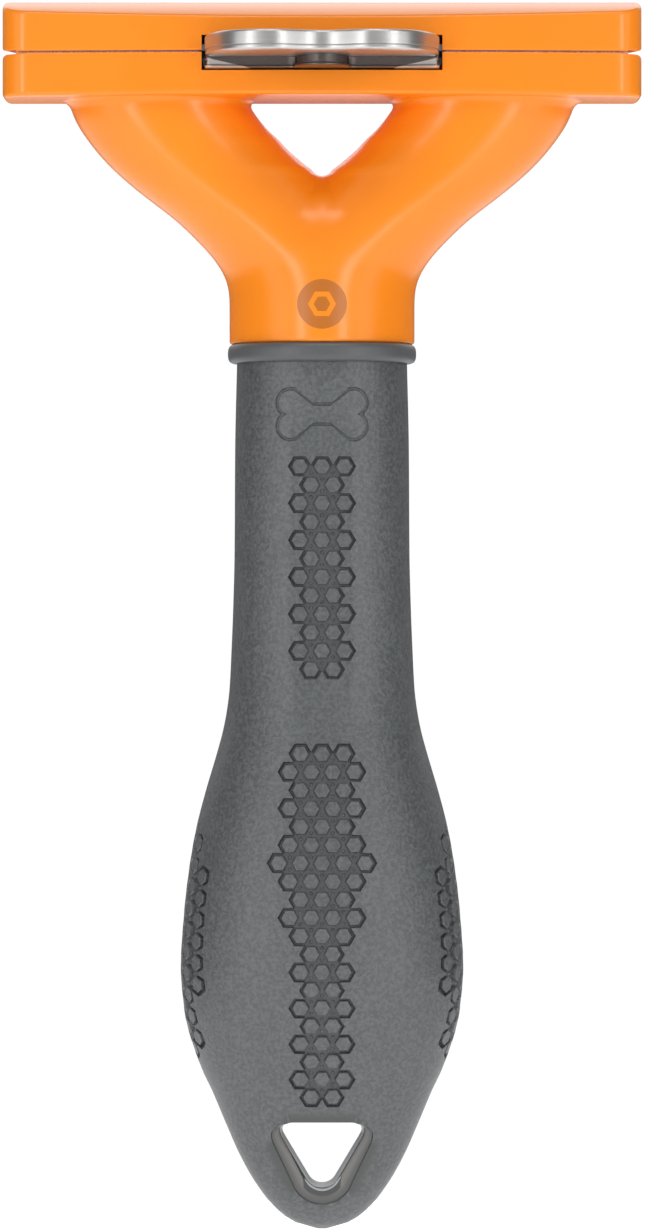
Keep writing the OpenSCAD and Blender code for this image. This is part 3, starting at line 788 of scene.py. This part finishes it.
points, corners, bends = [], [], []
for shape, normals, triangles, even in quarters:
    base = sum(len(p) for p in points)
    a, b, c = (shape[triangles[:, k]] for k in range(3))
    across_face = np.cross(b - a, c - a)
    wrong = np.einsum("ij,ij->i", across_face, normals[triangles[:, 0]]) < 0
    triangles = np.where(wrong[:, None], triangles[:, ::-1], triangles)
    length = np.linalg.norm(across_face, axis=1)[:, None]
    across_face = np.where(wrong[:, None], -across_face, across_face) / np.maximum(length, 1e-12)
    bend = np.where(even[:, None, None], normals[triangles], across_face[:, None, :])
    points.append(shape)
    corners.append(triangles + base)
    bends.append(bend.reshape(-1, 3))
points, corners, bends = np.concatenate(points), np.concatenate(corners), np.concatenate(bends)

front_edge = raise_patch("face", hole_edge, np.full(len(hole_edge), 1.2))[0]
wide_edge = hang_outline(1.14)
LINER_Y = 4.76
steps = ((-LINER_Y, hole_edge), (-LINER_Y, wide_edge), (LINER_Y, wide_edge), (LINER_Y, hole_edge))
tunnel = [front_edge, *[[(x, y, z) for x, z in edge] for y, edge in steps], front_edge * (1, -1, 1)]
count = len(hole_edge)
walls = []
for r in range(5):
    for i in range(count):
        a, b = len(points) + r * count + i, len(points) + r * count + (i + 1) % count
        walls += [(a, b, b + count), (a, b + count, a + count)]
points = np.concatenate([points, *[np.array(ring) for ring in tunnel]])
a, b, c = (points[np.array(walls)[:, k]] for k in range(3))
inward = np.cross(b - a, c - a)
middle = (a + b + c) / 3
if (inward[:, [0, 2]] * (np.array([0, 10.5]) - middle[:, [0, 2]])).sum() < 0:
    walls = [wall[::-1] for wall in walls]
    inward = -inward
length = np.maximum(np.linalg.norm(inward, axis=1)[:, None], 1e-12)
corners = np.concatenate([corners, np.array(walls)])
bends = np.concatenate([bends, np.repeat(inward / length, 3, axis=0)])

mesh = bpy.data.meshes.new("grip_sleeve")
mesh.from_pydata(points * MM, [], corners.tolist())
mesh.update()
mesh.shade_smooth()
mesh.normals_split_custom_set(bends.tolist())
for label, values in (("lip", [*lips, np.ones(6 * count)]), ("sunk", [*sunk, np.zeros(6 * count)])):
    mesh.attributes.new(label, "FLOAT", "POINT").data.foreach_set("value", np.concatenate(values))
grip = add_object("soft_grip", mesh)

rubber = Finish("grip_rubber", (0.07, 0.076, 0.08), 0.45, Specular_IOR_Level=0.8)
lip = rubber.node("ShaderNodeAttribute", {"attribute_name": "lip"}, {}, "Fac")
low = rubber.node("ShaderNodeAttribute", {"attribute_name": "sunk"}, {}, "Fac")
on_lip = lip.ramp(0.02, 0.22)
pores = rubber.noise(2100, 3, 0.65)
grain = rubber.noise(900, 2, 0.5)
blotch = rubber.noise(150, 2, 0.5)
tone = pores.ramp(0.36, 0.66) * 0.75 + blotch * 0.25
skin_color = rubber.mix(tone, (0.038, 0.043, 0.046, 1), (0.09, 0.097, 0.102, 1))
# Painted shade: the floors of the sunk panels are darkened by their depth, standing in for the shade in the
# recesses round the posts.
skin_color = rubber.mix(low * 0.6, skin_color, (0.03, 0.033, 0.036, 1))
# Painted light: a paler, browner band across the middle of the lip's slope is a painted highlight, and its
# outer edge and the walls down in the hole are painted shade.
painted_lip_highlight = lip.ramp(0.3, 0.75) * (1 - lip.ramp(0.84, 0.96))
lip_color = rubber.mix(painted_lip_highlight, (0.036, 0.04, 0.039, 1), (0.15, 0.142, 0.135, 1))
rubber.feed("Base Color", rubber.mix(on_lip, skin_color, lip_color))
rubber.feed("Roughness", 0.33 + pores * 0.2 + low * 0.15)
relief = (pores * 0.6 + grain * 0.4) * (1 - on_lip * 0.85)
rubber.feed("Normal", rubber.bump(relief, 0.75, 0.0002))
rubber.put_on(grip)
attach(grip, ROOT)
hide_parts("grip_sleeve")


# ---------------------------------------------------------------- hexagonal posts
# A low six-sided post stands in each cell of the sunk panels, moulded in one with the sleeve, with
# its top just under the skin around it and a small chamfer. A tiny stud fills each gap between three.

tree = bpy.data.node_groups.new("hexagonal_posts", "GeometryNodeTree")
for label, kind in (("Geometry", "Geometry"), ("Sides", "Int"), ("Foot radius", "Float"),
                    ("Top radius", "Float"), ("Height", "Float"), ("Chamfer", "Float"),
                    ("Material", "Material")):
    tree.interface.new_socket(label, in_out="INPUT", socket_type="NodeSocket" + kind)
tree.interface.new_socket("Geometry", in_out="OUTPUT", socket_type="NodeSocketGeometry")
post = NodeMaker(tree)
given = {s.name: Value(post, s) for s in tree.nodes.new("NodeGroupInput").outputs if s.name}


def cone(foot, top, height):
    sockets = {"Vertices": given["Sides"], "Radius Top": top, "Radius Bottom": foot, "Depth": height}
    return post.node("GeometryNodeMeshCone", {"fill_type": "NGON"}, sockets)


shaft = cone(given["Foot radius"], given["Top radius"], given["Height"])
cap = cone(given["Top radius"], given["Top radius"] - given["Chamfer"], given["Chamfer"] * 0.7)
lift = post.node("ShaderNodeCombineXYZ", {}, {"Z": given["Height"]})
cap = post.node("GeometryNodeTransform", {}, {"Geometry": cap, "Translation": lift})
join = tree.nodes.new("GeometryNodeJoinGeometry")
tree.links.new(shaft.socket, join.inputs[0])
tree.links.new(cap.socket, join.inputs[0])
way = {"data_type": "FLOAT_VECTOR"}
outward = post.node("GeometryNodeInputNamedAttribute", way, {"Name": "outward"})
sideways = post.node("GeometryNodeInputNamedAttribute", way, {"Name": "sideways"})
turn = post.node("FunctionNodeAlignRotationToVector", {"axis": "Z"}, {"Vector": outward})
turn = post.node("FunctionNodeAlignRotationToVector", {"axis": "X", "pivot_axis": "Z"},
                 {"Rotation": turn, "Vector": sideways})
spots = post.node("GeometryNodeInstanceOnPoints", {},
                  {"Points": given["Geometry"], "Instance": Value(post, join.outputs[0]), "Rotation": turn})
solid = post.node("GeometryNodeRealizeInstances", {}, [spots])
dressed = post.node("GeometryNodeSetMaterial", {}, {"Geometry": solid, "Material": given["Material"]})
tree.links.new(dressed.socket, tree.nodes.new("NodeGroupOutput").inputs[0])


def stand_posts(name, places, sizes):
    """Posts of one size at flattened places on the front and back, and on both sides."""
    spots, outwards, sides = [], [], []
    for kind, turns, side_way in (("face", [(1, 1), (1, -1)], (1, 0, 0)),
                                  ("side", [(1, 1), (-1, 1)], (0, 0, 1))):
        flat = np.array(places[kind])
        on_skin, normals = raise_patch(kind, flat, np.full(len(flat), FLOOR_DEPTH + 0.05))
        for flip_x, flip_y in turns:
            flip = np.array([flip_x, flip_y, 1])
            spots.append(on_skin * flip)
            outwards.append(normals * flip)
            sides.append(np.tile(side_way, (len(flat), 1)))
    posts = from_polygons(name, np.concatenate(spots), [])
    for label, vectors in (("outward", outwards), ("sideways", sides)):
        layer = posts.data.attributes.new(label, "FLOAT_VECTOR", "POINT")
        layer.data.foreach_set("vector", np.concatenate(vectors).ravel())
    step = posts.modifiers.new("posts", "NODES")
    step.node_group = tree
    for item in tree.interface.items_tree:
        if item.in_out == "INPUT" and item.name in sizes:
            step[item.identifier] = sizes[item.name]
    bake(posts)
    return posts


def between_cells(kind):
    """Middles of the gaps between three neighbouring cells."""
    cells = np.array(CELLS[kind][0])
    middles = set()
    for a, first in enumerate(cells):
        near_by = [b for b in range(a + 1, len(cells)) if 0.1 < np.hypot(*(cells[b] - first)) < 2.95]
        for i, b in enumerate(near_by):
            for c in near_by[i + 1:]:
                if np.hypot(*(cells[b] - cells[c])) < 2.95:
                    middles.add(tuple(((first + cells[b] + cells[c]) / 3).round(3)))
    return sorted(middles)


def post_sizes(foot, top, height, chamfer):
    return {"Sides": 6, "Foot radius": foot * MM, "Top radius": top * MM, "Height": height * MM,
            "Chamfer": chamfer * MM, "Material": rubber.material}


cell_places = {kind: CELLS[kind][0] for kind in CELLS}
posts = stand_posts("grip_posts", cell_places, post_sizes(1.12, 1.02, 0.46, 0.1))
gap_places = {kind: between_cells(kind) for kind in CELLS}
studs = stand_posts("grip_studs", gap_places, post_sizes(0.3, 0.16, 0.16, 0.08))
posts = fuse("grip_posts", posts, studs)
rubber.put_on(posts)
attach(posts, ROOT)


# ---------------------------------------------------------------- hang eyelet
# A rigid liner pressed into the hang hole, so that a hook doesn't wear the soft sleeve. Its bore
# opens out a little at each face.

front_half = [(-4.45, 1.1), (-4.62, 1.04), (-4.7, 0.9), (-4.7, 0.52), (-4.64, 0.4), (-4.3, 0.24),
              (-3.4, 0.08), (-2, 0)]
liner = [[(x, y, z) for x, z in hang_outline(grow)]
         for y, grow in [*front_half, *[(-y, grow) for y, grow in front_half[::-1]]]]
eyelet = loft("hang_eyelet_liner", liner, loop=True)
eyelet.data.set_sharp_from_angle(angle=math.radians(60))
liner_plastic = Finish("eyelet_plastic", (0.42, 0.43, 0.44), 0.4)
mist = liner_plastic.noise(1500, 2)
liner_plastic.feed("Base Color", liner_plastic.mix(mist, (0.36, 0.37, 0.38, 1), (0.46, 0.47, 0.48, 1)))
liner_plastic.feed("Roughness", 0.34 + mist * 0.14)
liner_plastic.put_on(eyelet)
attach(eyelet, ROOT)
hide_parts("hang_eyelet")


# ---------------------------------------------------------------- collar
# A smooth bead of the same grey between the sleeve and the head, slid over the tang before the
# head goes on. It covers the end of the sleeve.

collar_rings = []
for t in np.linspace(-1, 1, 15):
    inset = 0.62 * (1 - math.sqrt(max(1 - abs(t) ** 2.6, 0)))
    level = 110.1 + 1.18 * t
    ring = []
    for angle in np.radians(np.arange(0, 360, 3)):
        c, s = math.cos(angle), math.sin(angle)
        x = (11.86 - inset) * math.copysign(abs(c) ** (2 / 2.2), c)
        ring.append((x, (10.6 - inset) * math.copysign(abs(s) ** (2 / 2.2), s), level))
    collar_rings.append(ring)
collar = loft("collar_bead", collar_rings)
bead = Finish("collar_rubber", (0.085, 0.09, 0.094), 0.42)
haze = bead.noise(1800, 2)
bead.feed("Base Color", bead.mix(haze, (0.07, 0.074, 0.077, 1), (0.09, 0.094, 0.098, 1)))
bead.feed("Roughness", 0.38 + haze * 0.1)
bead.feed("Normal", bead.bump(haze, 0.1, 0.00004))
bead.put_on(collar)
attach(collar, ROOT)
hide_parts("collar_ring")


# ---------------------------------------------------------------- button
# The button that pushes the hair off the comb: a cast pad with two lobes for the thumb, on a
# carrier whose skirt fills the pocket under it and whose arm reaches back over the ejector plate.


EJECTOR = "ejector"
PAD_HALF, PAD_FRONT, LOBE_X = 14.6, -21.47, 6.3


def pad_front(x):
    """Front edge of the pad: two lobes with a hollow between them, and round ends."""
    past = abs(x) - LOBE_X
    if past < 0:
        return PAD_FRONT + 1.7 * (0.5 + 0.5 * math.cos(math.pi * abs(x) / LOBE_X))
    return PAD_FRONT + 0.04 * past**2 + 9 * (1 - math.sqrt(max(0, 1 - (past / 8.35) ** 4)))


def ring_inset(outline, inset, z):
    """A level ring drawn in from an outline by a distance."""
    line = np.array(outline)
    way = np.roll(line, -1, axis=0) - np.roll(line, 1, axis=0)
    way /= np.linalg.norm(way, axis=1)[:, None]
    inner = line + np.stack([-way[:, 1], way[:, 0]], 1) * inset
    return [(x, y, z) for x, y in inner]


front_x = [PAD_HALF * math.sin(a) for a in np.radians(np.linspace(-90, 90, 141))]
front_line = [(x, pad_front(x)) for x in front_x]
sides = [(PAD_HALF, y) for y in np.linspace(-11.2, -9.5, 5)[1:]]
pad_outline = [*front_line, *sides, *[(x, -9.32) for x in np.linspace(14.3, -14.3, 21)],
               *[(-x, y) for x, y in sides[::-1]]]
pad_profile = [(146.66, 0.95), (146.67, 0.66), (146.72, 0.5), (146.86, 0.24), (146.94, 0.15), (147.0, 0.11),
               (147.4, 0.08), (147.43, 0.1), (147.455, 0.16), (147.48, 0.16), (147.5, 0.03), (147.53, 0),
               (148.98, 0), (149.1, 0.02), (149.19, 0.07), (149.26, 0.16), (149.29, 0.28), (149.3, 0.6)]
pad = loft("thumb_pad_cast", [ring_inset(pad_outline, inset, z) for z, inset in pad_profile])
pad.data.set_sharp_from_angle(angle=math.radians(40))

satin = Finish("button_metal", (0.6, 0.585, 0.57), 0.26, Metallic=1.0)
drawn = satin.node("ShaderNodeMapping", {}, {"Vector": satin.place, "Scale": (0.15, 0.15, 3)})
streaks = satin.noise(900, 3, 0.6, at=drawn)
grit = satin.noise(4000, 2)
satin.feed("Base Color", satin.mix(streaks, (0.45, 0.44, 0.43, 1), (0.58, 0.565, 0.555, 1)))
satin.feed("Roughness", 0.28 + streaks * 0.1 + grit * 0.06)
satin.feed("Normal", satin.bump(grit * 0.6 + streaks * 0.4, 0.12, 0.00003))
satin.put_on(pad)
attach(pad, EJECTOR)
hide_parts("thumb_pad")

skirt_line = [(-PAD_HALF, -11.3), (-14.45, -11.6), (-14.2, -11.72)]
skirt_line += [(x, -11.75) for x in np.linspace(-13.5, -4.4, 16)]
skirt_line += [(-3.9, -11.8), (-3.6, -11.95), (-3.48, -12.3), (-3.42, -12.8)]
bow = [(3.42 * math.sin(a), -13.0 - 3.6 * math.cos(a)) for a in np.radians(np.linspace(-88, 88, 31))]
skirt_line += [*bow, *[(-x, y) for x, y in skirt_line[::-1]]]
skirt_line += [(PAD_HALF, y) for y in (-10.5, -9.2, -8.1)]
skirt_line += [(x, -7.92) for x in np.linspace(14.4, -14.4, 13)]
skirt_line += [(-PAD_HALF, y) for y in (-8.1, -9.2, -10.5)]
skirt_profile = [(145.3, 0.3), (145.31, 0.12), (145.36, 0.02), (145.48, 0), (145.55, 0.05), (145.6, 0.2),
                 (145.66, 0.3), (145.8, 0.33), (146.5, 0.33), (146.63, 0.33)]
skirt_rings = []
for z, inset in skirt_profile:
    ring = []
    for x, y, z in ring_inset(skirt_line, inset, z):
        slope = max(0, 145.6 + (abs(x) - 10.3) * 0.23 - z) if y < -11 else 0
        ring.append((x, y - 0.55 * slope, z))
    skirt_rings.append(ring)
skirt = loft("skirt", skirt_rings)
wall = block("wall", (-PAD_HALF, -9.28, 146.4), (PAD_HALF, -7.92, 149.28))
arm = block("arm", (-9, -8.9, 148.52), (9, 0.9, 150.22))
for part in (wall, arm):
    edge = part.modifiers.new("edges", "BEVEL")
    edge.width, edge.segments = 0.2 * MM, 2
    bake(part)
carrier = fuse("button_carrier_skirt", skirt, wall, arm)
carrier.data.set_sharp_from_angle(angle=math.radians(40))
cast = Finish("skirt_metal", (0.3, 0.28, 0.27), 0.38, Metallic=1.0)
sand = cast.noise(2600, 3, 0.6)
off_middle = cast.node("ShaderNodeMath", {"operation": "ABSOLUTE"}, [cast.axis("X", cast.place)])
over_foot = cast.axis("Z", cast.place) - 145.6 * MM
# Painted light: the skirt's dark tone is painted shade under the pad's overhang, and a pale wedge at each
# end, bounded by a slanting line, is painted light where it reaches past the pad.
painted_lit_ends = (off_middle - over_foot * 4.35).ramp(10.1 * MM, 10.6 * MM)
painted_overhang_shade = cast.mix(sand, (0.12, 0.1, 0.095, 1), (0.17, 0.145, 0.135, 1))
cast.feed("Base Color", cast.mix(painted_lit_ends, painted_overhang_shade, (0.66, 0.63, 0.61, 1)))
cast.feed("Roughness", 0.3 + sand * 0.16)
cast.feed("Normal", cast.bump(sand, 0.12, 0.00003))
cast.put_on(carrier)
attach(carrier, EJECTOR)
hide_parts("button_carrier")


# ---------------------------------------------------------------- steel parts and core
# The comb blade, ejector plate, rods, pins and screws, and the core inside the sleeve, keep
# their exact shapes and get their finishes here: ground, drawn and plated steel, and plain nylon.


def steel(name, dark, light, rough, stretch, depth):
    """A metal with fine marks drawn out along one way."""
    finish = Finish(name, light, rough, Metallic=1.0)
    way = finish.node("ShaderNodeMapping", {}, {"Vector": finish.place, "Scale": stretch})
    marks = finish.noise(1400, 4, 0.65, at=way)
    blotches = finish.noise(120, 2)
    tint = marks * 0.7 + blotches * 0.3
    finish.feed("Base Color", finish.mix(tint, (*dark, 1), (*light, 1)))
    finish.feed("Roughness", rough - 0.06 + marks * 0.14)
    finish.feed("Normal", finish.bump(marks, 0.15, depth))
    return finish


def dress(finish, *names):
    for name in names:
        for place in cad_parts[name].material_slots:
            place.material = finish.material


blade_steel = steel("ground_blade_steel", (0.5,) * 3, (0.68, 0.68, 0.67), 0.26, (3, 0.2, 3), 0.02 * MM)
plate_steel = steel("rolled_plate_steel", (0.48,) * 3, (0.62, 0.62, 0.61), 0.34, (0.2, 3, 3), 0.02 * MM)
wire_steel = steel("drawn_spring_wire", (0.35, 0.35, 0.34), (0.55, 0.55, 0.54), 0.3, (1, 1, 1), 0.01 * MM)
plated = steel("plated_screw_steel", (0.45, 0.45, 0.44), (0.62, 0.62, 0.6), 0.32, (1, 1, 1), 0.01 * MM)
dress(blade_steel, "comb_blade")
dress(plate_steel, "ejector_plate")
dress(plated, "blade_screws", "carrier_screws", "head_screws", "neck_screws", "spring_rod_left",
      "spring_rod_right", "stop_pin_left", "stop_pin_right")
nylon = Finish("core_nylon", (0.2, 0.21, 0.22), 0.5)
fleck = nylon.noise(1200, 3)
nylon.feed("Base Color", nylon.mix(fleck, (0.18, 0.19, 0.2, 1), (0.24, 0.25, 0.26, 1)))
nylon.feed("Roughness", 0.42 + fleck * 0.16)
dress(nylon, "handle_core")


# ---------------------------------------------------------------- return springs
# Two small compression springs wound from round steel wire, each on its rod in the upper half. The
# tabs of the ejector plate press them against the head, 6.6 mm behind the middle plane, so each
# goes from 13.6 mm to 5.6 mm long as the button goes in.

WIRE_R, WINDINGS, COIL_STEPS = 0.225, 7, 155
for node in ("return_spring_left", "return_spring_right"):
    low, high = (np.array(corner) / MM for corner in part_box(node))
    middle_x, _, middle_z = (low + high) / 2
    coil_r, length = (high[2] - low[2]) / 2 - WIRE_R, high[1] - low[1] - 2 * WIRE_R
    rings = []
    for share in np.linspace(0, 1, COIL_STEPS):
        a, y, ring = 2 * math.pi * WINDINGS * share, low[1] + WIRE_R + length * share, []
        for b in np.linspace(0, 2 * math.pi, 9)[:-1]:
            reach, rise = coil_r + WIRE_R * math.cos(b), WIRE_R * math.sin(b)
            ring.append((middle_x + reach * math.cos(a), y + rise, middle_z + reach * math.sin(a)))
        rings.append(ring)
    spring = loft(node.replace("return", "wire"), rings)
    wire_steel.put_on(spring)
    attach(spring, ROOT)
    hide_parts(node)
    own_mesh(spring)
